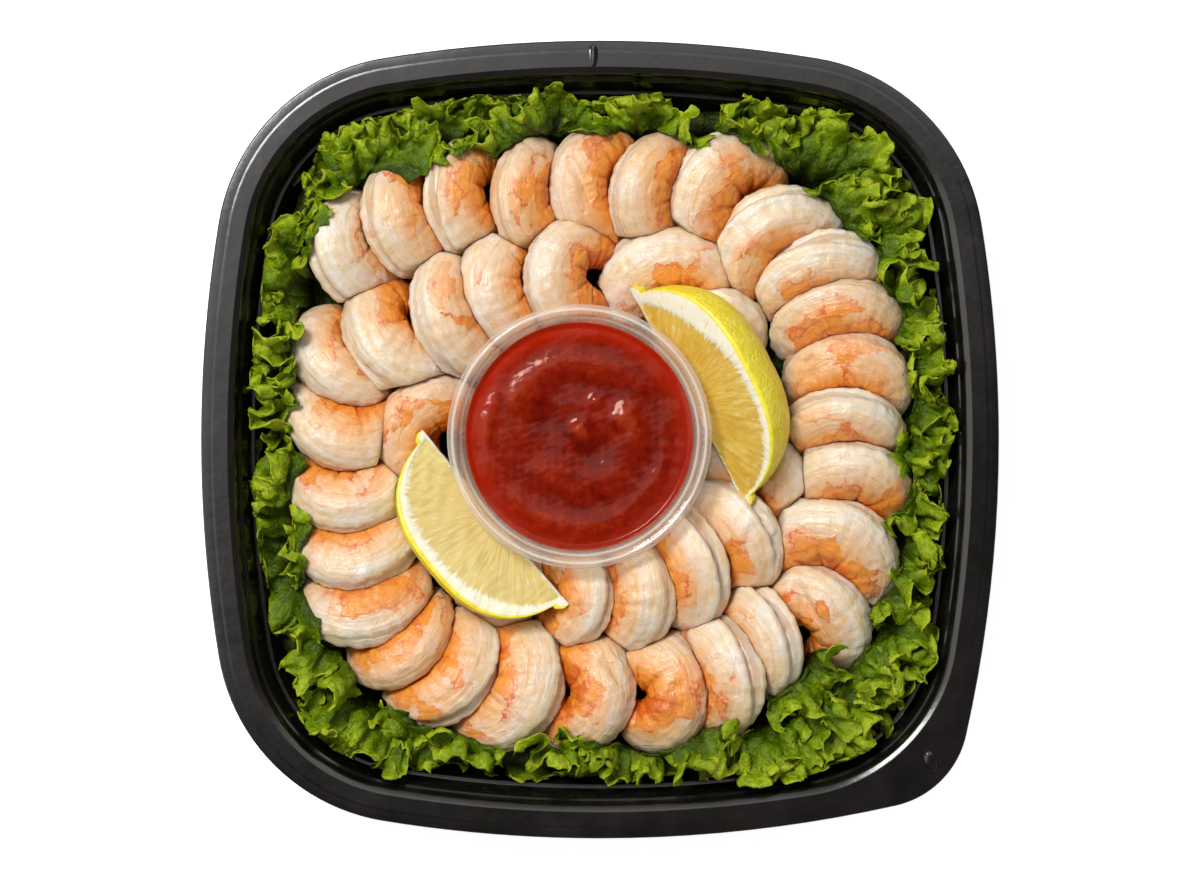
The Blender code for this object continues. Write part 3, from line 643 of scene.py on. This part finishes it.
class Shrimp:
    """The part's curled body, set where its CAD solid lies."""

    def __init__(self, number, heading, lean, size, openness, cut, orange):
        self.node, self.number = "shrimp_%02d" % number, number
        self.size, self.openness, self.cut, self.orange = size, openness, cut, orange
        rise = math.radians(lean)
        self.out = toward(math.radians(heading))
        self.back = left_of(self.out) * math.cos(rise) + UP * math.sin(rise)
        self.face = np.cross(self.out, self.back)
        self.place = np.zeros(3)
        self.place = self.find_place()
        shares = np.linspace(0.0, 1.0, 15)
        self.spine = self.centres(shares)
        self.girths = self.girth(shares)

    def curl(self, shares):
        """Radius of the curl, tighter towards the tail."""
        return self.size * self.openness * CURL_RADIUS * (1.0 - TAIL_CURL * shares ** 2)

    def directions(self, shares):
        turn = np.radians(CURL_MIDDLE + CURL_SWEEP / self.openness * (0.5 - shares))
        return np.cos(turn)[:, None] * self.out + np.sin(turn)[:, None] * self.back

    def centres(self, shares):
        return self.place + self.curl(shares)[:, None] * self.directions(shares)

    def girth(self, shares):
        ripple = 1.0 + 0.035 * np.cos(TURN * SEGMENTS * shares)
        return self.smooth_girth(shares) / ripple

    def smooth_girth(self, shares):
        return self.size * BODY_RADIUS * np.interp(shares, GIRTH_AT, GIRTH)

    def sections(self, shares, turns, back, belly, width):
        """Section points of the body; the depths and the width are shares of its girth."""
        cos, sin = np.cos(turns), np.sin(turns)
        girth = self.girth(shares)
        low = np.minimum(belly * girth, self.curl(shares) - CURL_HOLE)
        depth = np.where(cos > 0.0, (back * girth)[:, None], low[:, None])
        out = self.directions(shares)
        return (self.centres(shares)[:, None] + (depth * cos)[..., None] * out[:, None]
                + (width * girth[:, None] * sin)[..., None] * self.face)

    def find_place(self):
        """The shift that lays the most section corners on corners of the CAD solid."""
        depths = [SECTION_SWELL * depth for depth in (BACK_DEPTH, BELLY_DEPTH, BODY_WIDTH)]
        corners = self.sections(np.array(RINGS), all_round(SECTION_SIDES), *depths)
        solid = [vertex.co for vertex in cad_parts[self.node].data.vertices]
        shifts = (1000.0 * np.array(solid)[:, None] - corners.reshape(1, -1, 3)).reshape(-1, 3)
        _, where, votes = np.unique(np.round(shifts / 0.2), axis=0, return_inverse=True,
                                    return_counts=True)
        return np.median(shifts[where.ravel() == votes.argmax()], axis=0)

    def distance(self, points):
        """How far points lie outside the round body."""
        start, step = self.spine[:-1], np.diff(self.spine, axis=0)
        offset = points[:, None, :] - start[None]
        share = np.clip((offset * step).sum(2) / (step * step).sum(1), 0.0, 1.0)
        away = np.linalg.norm(offset - share[..., None] * step, axis=2)
        girth = self.girths[:-1] + share * np.diff(self.girths)
        return (away - girth).min(1)

    def lead(self, other):
        """1 where this body lies over the other, -1 where it lies under it."""
        offset = other.place - self.place
        side = float(offset @ ((self.back + other.back) * (1.0, 1.0, 0.0)))
        return max(-1.0, min(1.0, side / 12.0 - offset[2] / 5.0))


def seam_dip(shares, number, width=0.011):
    """1 on a seam between two segments of the body, 0 between the seams."""
    seams = np.array((0.17, 0.33, 0.49, 0.64, 0.78, 0.9)) + 0.008 * math.sin(2.3 * number)
    return np.exp(-((shares - seams) / width) ** 2).sum(1)[:, None]


def shrimp_surface(shrimp):
    """The body's fine sections with its segments, cut back, ragged head end and tail tip."""
    number, turns = shrimp.number, all_round(BODY_SIDES)
    shares = np.linspace(0.0, 1.0, BODY_STATIONS)
    grid = shrimp.sections(shares, turns, 1.26, 1.0, 1.0)
    centres = shrimp.centres(shares)[:, None]
    spokes = grid - centres
    scale = (shrimp.smooth_girth(shares) / shrimp.girth(shares))[:, None]
    shares = shares[:, None]
    signed = (turns + math.pi) % (TURN) - math.pi
    back = np.cos(signed)
    scallop = smooth(back, 0.35, -0.55)
    dip = seam_dip(shares, number) * (0.022 + 0.055 * scallop)
    dip = dip + seam_dip(shares, number, 0.035) * 0.045 * scallop
    scale = scale - dip * smooth(back, -1.3, -0.6)
    cut = shrimp.cut * smooth(shares, 0.72, 0.4) * smooth(shares, -0.02, 0.03)
    off_centre = np.abs(signed - 0.1 * np.sin(9.0 * shares + number))
    slit = np.exp(-(off_centre / 0.13) ** 2)
    lips = np.exp(-((off_centre - 0.36) / 0.17) ** 2)
    scale = scale + cut * (0.085 * lips - 0.27 * slit)
    body = join(9.0 * shares, 2.0 * np.cos(turns), 2.0 * np.sin(turns))
    scale = scale + 0.055 * waves(body, 5.0, 50 + number) + 0.022 * waves(grid, 3.4, 90 + number)
    scale = scale + 0.024 * waves(body * (0.35, 3.0, 3.0), 3.6, 170 + number)
    scale = scale + 0.13 * smooth(shares, 0.07, 0.0) * waves(grid, 3.0, 130 + number)
    return centres, spokes * scale[..., None], back, signed


def press(shrimp, centres, spokes, near, lemons):
    """Draw the skin in where neighbours, wedges or the cup press on it."""
    reach = np.ones(spokes.shape[:2])
    length = np.linalg.norm(spokes, axis=2)
    for _ in range(PRESS_STEPS):
        points = (centres + reach[..., None] * spokes).reshape(-1, 3)
        own = shrimp.distance(points)
        away = np.hypot(points[:, 0] - CUP_X, points[:, 1] - CUP_Y)
        excess = cup_clearance(points[:, 2]) + PRESS_GAP - away
        for lemon in lemons:
            excess = np.maximum(excess, PRESS_GAP - lemon.distance(points))
        for other in near:
            gap = own - other.distance(points) - OVERLAP * shrimp.lead(other)
            excess = np.maximum(excess, PRESS_SHARE * (gap + 0.1))
        excess = np.maximum(excess, 0.0).reshape(reach.shape)
        reach = np.maximum(reach - excess / np.maximum(length, 0.5), LEAST_REACH)
    return centres + reach[..., None] * spokes, reach


def cup_clearance(z):
    """Radius that the cup takes up at each height."""
    heights = [CUP_BASE + h for h in (0.0, 37.6, 38.2, 41.2, 43.6)]
    return np.interp(z, heights, [25.6, 33.8, 35.2, CUP_RIM_RADIUS, CUP_RIM_RADIUS])


def end_loops(loop, inward, depths, scales):
    """Loops that close an end of a body with a shallow hollow or a tip."""
    centre = loop.mean(0)
    return np.array([centre + scale * (loop - centre) + depth * inward
                     for depth, scale in zip(depths, scales)])


def build_shrimp(shrimp, shrimps, lemons, material):
    centres, spokes, back, signed = shrimp_surface(shrimp)
    near = [other for other in shrimps if other is not shrimp
            and np.linalg.norm(other.place - shrimp.place) < SHRIMP_NEAR]
    grid, reach = press(shrimp, centres, spokes, near, lemons)
    course = np.gradient(centres[:, 0], axis=0)
    course /= np.linalg.norm(course, axis=1, keepdims=True)
    head = end_loops(grid[0], course[0], (0.9, 1.1, 0.4, -0.2), (0.12, 0.42, 0.72, 0.9))
    tail = end_loops(grid[-1], course[-1], (0.4, 0.8, 1.0), (0.85, 0.5, 0.15))
    shares = np.linspace(0.0, 1.0, BODY_STATIONS)[:, None]
    inner = 0.62 * (0.5 - 0.5 * back) + 0.55 * (shrimp.orange - 0.45)
    inner = inner + 0.22 * smooth(shares, 0.72, 1.0)
    inner = inner + 0.07 * np.sin(1.7 * shrimp.number + 5.0 * shares)
    inner = inner - 0.12 * shrimp.cut * smooth(shares, 0.7, 0.4) * np.exp(-(signed / 0.6) ** 2)
    # Painted shade where the skin is pressed in on the belly side and in the slit, plus the seams' own
    # orange lines.
    fold = 0.4 * smooth(reach, 0.8, 0.4) * smooth(back, 0.6, -0.4)
    fold = fold + 0.3 * seam_dip(shares, shrimp.number) * smooth(back, 0.5, -0.5)
    fold = fold + 0.35 * shrimp.cut * smooth(shares, 0.6, 0.3) * np.exp(-(signed / 0.12) ** 2)
    marks = {"inner": inner, "fold": fold, "along": 6.0 * shares,
             "around": np.abs(signed) + 4.0 * (signed < 0.0), "seed": 3.7 * shrimp.number}
    ends = ((len(head), len(tail)), (0, 0))
    marks = {key: np.pad(np.broadcast_to(value, inner.shape), ends, mode="edge")
             for key, value in marks.items()}
    add_piece("cooked_" + shrimp.node, *loft(np.concatenate([head, grid, tail])), material,
              "shrimp", [shrimp.node], marks)


# ---- lemon wedges

class Lemon:
    """A pole-to-pole wedge: two flat cut faces meet along the core line, the rind joins them."""

    def __init__(self, name, x, y, z, bearing, tilt, spread, length, radius, pith_end, pale):
        self.name, self.pith_end, self.pale = name, pith_end, pale
        self.middle = np.array((x, y, z))
        self.along = toward(math.radians(bearing))
        self.out = left_of(self.along)
        self.top, self.low = math.radians(tilt), math.radians(tilt - spread)
        self.length, self.radius = length, radius

    def section_radius(self, station):
        """Lemon outline along its axis: an oval body with a nipple at each pole."""
        body = np.sqrt(np.maximum(0.0, 1.0 - np.abs(station / 0.93) ** 2.7))
        nipple = 0.16 * np.exp(-((np.abs(station) - 0.94) / 0.07) ** 2)
        return self.radius * np.maximum(np.maximum(body, nipple), 0.03)

    def distance(self, points):
        """How far points lie outside the wedge's cut faces and the rind's round."""
        local = points - self.middle
        out, up = local @ self.out, local[:, 2]
        above = up * math.cos(self.top) - out * math.sin(self.top)
        below = out * math.sin(self.low) - up * math.cos(self.low)
        station = np.clip(2.0 * (local @ self.along) / self.length, -1.0, 1.0)
        girth = self.radius * np.sqrt(np.maximum(0.02, 1.0 - np.abs(station / 0.96) ** 2.7))
        return np.maximum.reduce([above, below, np.hypot(out, up) - girth])


PITH = 2.6  # thickness of the white layer under the zest
ZEST = 1.3
SAC_WIDTH = 1.5  # juice sacs, across and along
SAC_LENGTH = 9.0
FAN_CENTRE = 7.0  # how far behind the core line the sacs' rows meet
FAN_REACH = 22.0


def build_lemon(lemon, material, stations=110, face=30, arc=34):
    """The wedge's skin: loops across it that run out along one face, round the rind and back."""
    station = -np.cos(math.pi * np.linspace(0.004, 0.996, stations))[:, None]
    radius = lemon.section_radius(station)
    parts = (face, arc - 2, face - 1)
    share = np.concatenate([np.linspace(0.0, 1.0, face), np.ones(parts[1]),
                            np.linspace(1.0, 0.0, face)[:-1]])
    turn = np.concatenate([np.full(face, lemon.top), np.linspace(lemon.top, lemon.low, arc)[1:-1],
                           np.full(parts[2], lemon.low)])
    rind, side = np.repeat((0.0, 1.0, 0.0), parts), np.repeat((1.0, 0.0, -1.0), parts)
    depth, across = radius * (1.0 - share), radius * share
    along = 0.5 * lemon.length * station + 0.0 * across
    white = ZEST + PITH * (0.75 + lemon.pith_end * smooth(station, 0.1, -0.8))
    pulp = smooth(depth, white - 0.6, white + 0.8) * smooth(across, 0.3, 1.6)
    sacs = waves(join(along / SAC_WIDTH, across / SAC_LENGTH, 0.0), 1.0, 7)
    lift = side * (pulp * (0.1 * sacs - 0.35) + 0.1 * waves(join(along, across, 0.0), 5.0, 8))
    swell = across + rind * 0.1 * waves(join(along + 20.0 * turn, across, 0.0), 1.6, 9)
    cos, sin = np.cos(turn), np.sin(turn)
    points = (lemon.middle + along[..., None] * lemon.along
              + (swell * cos - lift * sin)[..., None] * lemon.out)
    points[..., 2] += swell * sin + lift * cos
    away = points[..., :2] - (CUP_X, CUP_Y)
    push = np.maximum(1.0, (cup_clearance(points[..., 2]) + 0.6) / np.linalg.norm(away, axis=2))
    points[..., :2] = (CUP_X, CUP_Y) + push[..., None] * away
    fan = across + FAN_CENTRE
    marks = {
        "rind": np.repeat(rind[None], stations, 0),
        "pith": np.maximum(smooth(depth, white + 2.6, white - 0.9), 0.7 * smooth(across, 1.4, 0.4)),
        "peel": smooth(depth, ZEST + 0.6, ZEST - 0.7),
        "pale": np.full(across.shape, lemon.pale),
        "fan": np.arctan2(along, fan) * FAN_REACH / SAC_WIDTH,
        "depth": np.hypot(along, fan) / SAC_LENGTH,
    }
    add_piece("cut_" + lemon.name, *loft(points), material, "lemon", [lemon.name], marks)


# ---- lettuce

LEAF_STEP = 0.55  # between the points of a leaf's margin
LEAF_ROWS = 14
LEAF_TUCK = 8.0  # how far a leaf's foot dips between the pieces under it
LEAF_NEAR = 42.0  # middles of shrimps that a leaf can touch are closer than this
LEAF_CLEARANCE = 3.3  # from a shrimp's round body to the leaf on it
# Ruffles of a leaf: wavelength, height at the margin, how steeply they grow towards it
LEAF_WAVES = ((21.0, 3.8, 1.5), (9.0, 2.9, 2.3), (4.2, 1.0, 3.6))


def leaf_fan(bearing, inset, height, swing, rise, curl, length, spread, ruffle, seed):
    """One frilled leaf end, as a fan of points rising from its foot, and its share of the way up.

    bearing, inset and height place the foot; swing turns the leaf from heading straight outwards;
    rise is its slope at the foot and curl how far that slope falls by its margin.
    """
    rng = np.random.default_rng(seed)
    foot = 0.5 * length
    half = foot + length * math.radians(0.5 * spread)
    side = np.linspace(-1.0, 1.0, int(2.0 * half / LEAF_STEP))
    share = 1.0 - (1.0 - np.linspace(0.0, 1.0, LEAF_ROWS)[:, None]) ** 1.4
    run, share = np.broadcast_arrays(side * half, share)
    lane = join(run, 1.3 * length * share)
    margin = lane[-1:]
    heading = np.radians(bearing + swing + 0.5 * spread * side)
    slope = np.radians(rise - curl * share + 16.0 * waves(margin, 24.0, seed + 1) * share)
    reach = length * (1.0 - 0.22 * side ** 2 + 0.2 * waves(margin, 15.0, seed + 2))
    jags = 4.6 * teeth(run, 7.2, seed + 3) + 1.8 * teeth(run, 2.3, seed + 4)
    step = (reach + 3.4 * jags * share ** 3) * np.diff(share, axis=0, prepend=0.0)
    flat, lift = np.cumsum(np.cos(slope) * step, 0), np.cumsum(np.sin(slope) * step, 0)
    ahead = join(np.cos(heading), np.sin(heading), 0.0)
    across = left_of(ahead)
    angle = math.radians(bearing)
    away = float(outline_reach(np.array([angle]))[0]) - inset
    tangent = left_of(toward(math.radians(bearing + swing)))
    bow = -0.12 * foot * side ** 2
    grid = away * toward(angle) + height * UP
    grid = grid + (side * foot)[:, None] * tangent + bow[:, None] * ahead
    grid = grid + flat[..., None] * ahead + lift[..., None] * UP
    normal = -np.sin(slope)[..., None] * ahead + np.cos(slope)[..., None] * UP
    crumple = 1.7 * waves(lane, 9.0, seed + 5) * share + 0.55 * waves(lane, 3.6, seed + 6) * share
    grid = grid + crumple[..., None] * normal
    for wave, depth, power in LEAF_WAVES:
        wobble = 0.3 * wave * waves(lane, 1.7 * wave, seed + int(10 * wave))
        phase = TURN * (run + wobble) / wave + rng.uniform(0.0, 6.0)
        swell = 1.0 + 0.5 * waves(lane, 2.6 * wave, seed + int(10 * wave) + 1)
        size = ruffle * depth * swell * share ** power
        grid = grid + (size * np.sin(phase))[..., None] * normal
        grid = grid - (0.4 * size * np.sin(2.0 * phase))[..., None] * across
    return grid, share, run / 1.3


def teeth(run, pitch, seed):
    """Pointed teeth of uneven size along a margin, as a share of their height."""
    line = run[:, None]
    place = run / pitch + 0.35 * waves(line, 3.1 * pitch, seed + 20)
    point = np.abs(place % 1.0 * 2.0 - 1.0) ** 1.6
    return point * (0.75 + 0.35 * waves(line, 2.3 * pitch, seed + 30)) - 0.4


def keep_in(grid):
    """Hold leaf points inside the tray's wall and over its floor."""
    x, y, z = grid[..., 0], grid[..., 1], grid[..., 2]
    need = np.interp(z, (2.0, 23.0, 24.5, 33.0, 34.5, 46.0), (18.6, 15.4, 14.8, 14.2, 13.8, 12.5))
    lack = np.maximum(0.0, need + 1.8 * waves(grid, 22.0, 77) - inset_of(x, y))
    away = np.maximum(np.hypot(x, y), 1.0)
    shrink = (1.0 - lack / away)[..., None]
    return np.concatenate([grid[..., :2] * shrink, grid[..., 2:]], -1)


def clear_shrimps(grid, shrimps):
    """Lift leaf points that would lie inside a shrimp up and out over its skin."""
    middle = grid.reshape(-1, 3).mean(0)
    near = [shrimp for shrimp in shrimps if np.linalg.norm(shrimp.place - middle) < LEAF_NEAR]
    points = grid.reshape(-1, 3).copy()
    radial = points[:, :2] / np.maximum(np.hypot(points[:, 0], points[:, 1]), 1.0)[:, None]
    for _ in range(10):
        for shrimp in near:
            lack = np.clip(LEAF_CLEARANCE - shrimp.distance(points), 0.0, 2.0)
            points[:, 2] += 0.8 * lack
            points[:, :2] += 0.4 * lack[:, None] * radial
    return points.reshape(grid.shape)


def add_leaves(name, leaves, shrimps, material):
    points, faces, edges, runs, start = [], [], [], [], 0
    for grid, share, run in leaves:
        grid = keep_in(clear_shrimps(grid, shrimps))
        grid[..., 2] -= LEAF_TUCK * smooth(share, 0.38, 0.0)
        skin, quads = thicken(grid, 0.5 - 0.34 * share)
        points.append(skin)
        faces += (np.array(quads) + start).tolist()
        edges += 2 * [share.ravel()]
        runs += 2 * [run.ravel()]
        start += len(skin)
    add_piece(name, np.concatenate(points), faces, material, "lettuce", (),
              {"edge": np.concatenate(edges), "run": np.concatenate(runs)})


# Loops of the core: (radius, height) out from the cup, then (inset, height) down along the wall
CORE_INSIDE = ((31, 2), (31, 9), (34, 11), (45, 11.2), (60, 11.2), (74, 11.2))
CORE_OUTSIDE = ((28, 11.5), (26.5, 16), (24.5, 21), (20.5, 22), (17.5, 19), (17.8, 10),
                (20.5, 4.5), (25, 2))

# Rings of leaf ends: leaves in the ring, first bearing, inset and height of the foot, rise, curl,
# length, spread, ruffle
LEAF_RINGS = (
    ("lettuce_wall", 18, 5, 25, 14, 56, 34, 22, 40, 1),
    ("lettuce_middle", 22, 13, 27.5, 19, 64, 52, 19, 46, 1.05),
    ("lettuce_front", 22, 2, 27, 24, 78, 70, 14.5, 50, 1),
)

# Larger leaf ends in the corners and over the shrimps' ends: bearing, inset, height, swing,
# rise, curl, length, spread, ruffle
LARGE_LEAVES = (
    (133, 36, 26, -52, 34, 18, 27, 34, 0.45), (120, 29, 27, -20, 58, 30, 18, 44, 1),
    (150, 29, 22, 20, 60, 40, 20, 44, 1), (50, 35, 22, -22, 50, 30, 27, 40, 1),
    (43, 42, 26, 0, 58, 46, 18, 50, 1), (36, 33, 22, 22, 58, 34, 22, 44, 1.05),
    (63, 30, 25, 8, 60, 26, 18, 44, 1.1), (-47, 38, 20, 14, 48, 26, 27, 40, 0.95),
    (-50, 47, 24, 0, 58, 46, 20, 50, 1), (-34, 33, 23, -14, 54, 30, 22, 44, 1),
    (-60, 33, 24, -12, 56, 30, 21, 44, 1.05), (-72, 31, 28, 16, 66, 40, 17, 44, 1.1),
    (-132, 32, 17, 10, 46, 24, 20, 44, 1), (-3, 25, 28, 170, 70, 50, 9, 44, 0.8),
)


def build_lettuce(shrimps, material):
    core = lettuce_core()
    # The core takes the dark end of the leaf colour: painted shade under the shrimps and the frills.
    add_piece("lettuce_core", *loft(core, closed=True), material, "lettuce", ["lettuce"],
              {"edge": np.full(core.shape[:2], 0.05), "run": core[..., 0]})
    for place, ring in enumerate(LEAF_RINGS, start=1):
        name, count, first, inset, height, rise, curl, length, spread, ruffle = ring
        leaves = []
        for number in range(count):
            seed = 1000 * place + 10 * number
            jitter = np.random.default_rng(seed).uniform(-1.0, 1.0, 8)
            bearing = first + 360.0 * (number + 0.28 * jitter[0]) / count
            corner = math.sin(math.radians(2.0 * bearing)) ** 2
            leaves.append(leaf_fan(
                bearing, inset + 3.0 * jitter[1] + 6.0 * corner, height + 2.5 * jitter[2],
                40.0 * jitter[3], rise + 18.0 * jitter[4], curl + 32.0 * jitter[5],
                length * (1.0 + 0.34 * jitter[6]) + 4.0 * corner, spread + 14.0 * jitter[7],
                ruffle, seed))
        add_leaves(name, leaves, shrimps, material)
    large = [leaf_fan(*row, 9000 + 10 * number) for number, row in enumerate(LARGE_LEAVES)]
    add_leaves("lettuce_large", large, shrimps, material)


def lettuce_core(columns=420):
    """The heap of leaf under the shrimps and the frills, dark with painted shade, in loops out from
    the cup.
    """
    turn = all_round(columns)
    rim = outline_reach(turn)
    cos, sin = np.cos(turn), np.sin(turn)
    loops = [join(CUP_X * (1.0 - radius / 90.0) + radius * cos, CUP_Y + radius * sin, height)
             for radius, height in CORE_INSIDE]
    loops += [join((rim - inset) * cos, (rim - inset) * sin, height)
              for inset, height in CORE_OUTSIDE]
    grid = np.array(loops)
    lumps = 0.9 * waves(grid, 9.0, 21) + 0.5 * waves(grid, 4.0, 22)
    grid[1:-2, :, 2] += lumps[1:-2]
    grid[6:12] *= (1.0 + 0.006 * waves(grid, 7.0, 23)[6:12])[..., None]
    return keep_in(grid)


# ---- studio

CAMERA_HEIGHT = 856.0
CAMERA_LENS = 85.0
SOFTBOX_AT = (-450.0, 490.0, 1150.0)
SOFTBOX_SIZE = (420.0, 360.0)
SOFTBOX_POWER = 14.4
WORLD_LIGHT = 0.4
PANEL_LIGHT = 3.4
# The panel that glossy pieces mirror: the way it leans, and its brightness along that way
PANEL_LEAN = (-0.5, 0.87, 0.0)
PANEL = ((0.0, 0.05), (0.265, 0.02), (0.3, 0.06), (0.345, 0.15), (0.378, 0.36), (0.405, 0.52),
         (0.58, 0.6), (0.72, 0.2), (1.0, 0.14))
FLOOR_HALF = 4000.0
FLOOR_DROP = 0.3  # below the tray's foot


def build_world():
    """An even pale room; glossy pieces mirror a panel that brightens overhead to the back left."""
    world = bpy.data.worlds.new("studio")
    bpy.context.scene.world = world
    world.use_nodes = True
    nodes = Nodes(world.node_tree)
    way = nodes.node("ShaderNodeTexCoord").outputs["Generated"]
    lean = nodes.node("ShaderNodeVectorMath", {0: way, 1: PANEL_LEAN}, operation="DOT_PRODUCT")
    stops = [(place, level, level, level) for place, level in PANEL]
    panel = nodes.ramp(nodes.span(lean.outputs["Value"], -0.5, 1.0), *stops, encode=light)
    glossy = nodes.node("ShaderNodeLightPath").outputs["Is Glossy Ray"]
    strength = nodes.node("ShaderNodeMix", {"Factor": glossy, "A": WORLD_LIGHT,
                                            "B": nodes.times(panel, PANEL_LIGHT)})
    background = nodes.tree.nodes["Background"].inputs
    background["Color"].default_value = (1.0, 0.99, 0.97, 1.0)
    nodes.tree.links.new(strength.outputs["Result"], background["Strength"])


def build_softbox():
    data = bpy.data.lights.new("softbox", "AREA")
    data.shape, data.energy = "RECTANGLE", SOFTBOX_POWER
    data.size, data.size_y = (0.001 * side for side in SOFTBOX_SIZE)
    softbox = bpy.data.objects.new("softbox", data)
    softbox.location = 0.001 * np.array(SOFTBOX_AT)
    softbox.rotation_euler = (-softbox.location).to_track_quat("-Z", "Y").to_euler()
    bpy.context.collection.objects.link(softbox)


def build_studio():
    camera = bpy.data.objects.new("camera", bpy.data.cameras.new("camera"))
    camera.data.lens = CAMERA_LENS
    camera.location = (0.0, 0.0, 0.001 * CAMERA_HEIGHT)
    bpy.context.collection.objects.link(camera)
    bpy.context.scene.camera = camera
    build_softbox()
    build_world()
    mesh = bpy.data.meshes.new("floor")
    corners = np.array(((-1, -1, 0), (1, -1, 0), (1, 1, 0), (-1, 1, 0)))
    corners = 0.001 * (FLOOR_HALF * corners - (0.0, 0.0, FLOOR_DROP))
    mesh.from_pydata(corners.tolist(), [], [(0, 1, 2, 3)])
    look = Shader("floor", Roughness=0.9, Specular_IOR_Level=0.0, Emission_Strength=0.75)
    look.set("Base Color", look.ramp(look.noise(6.0), (0.3, 0.93, 0.93, 0.93),
                                     (0.7, 0.95, 0.95, 0.95), encode=light))
    mesh.materials.append(look.material)
    floor = bpy.data.objects.new("floor", mesh)
    bpy.context.collection.objects.link(floor)
    bpy.context.scene.view_settings.view_transform = "Standard"


def main():
    plastic = tray_material()
    build_studio()
    build_tray(plastic)
    build_tray_marks(plastic)
    build_cup(cup_material())
    build_sauce(sauce_material())
    lemons = [Lemon(*row) for row in LEMONS]
    zest = lemon_material()
    for lemon in lemons:
        build_lemon(lemon, zest)
    shrimps = [Shrimp(number, *row) for number, row in enumerate(SHRIMPS, start=1)]
    flesh = shrimp_material()
    for shrimp in shrimps:
        build_shrimp(shrimp, shrimps, lemons, flesh)
    build_lettuce(shrimps, lettuce_material())


main()
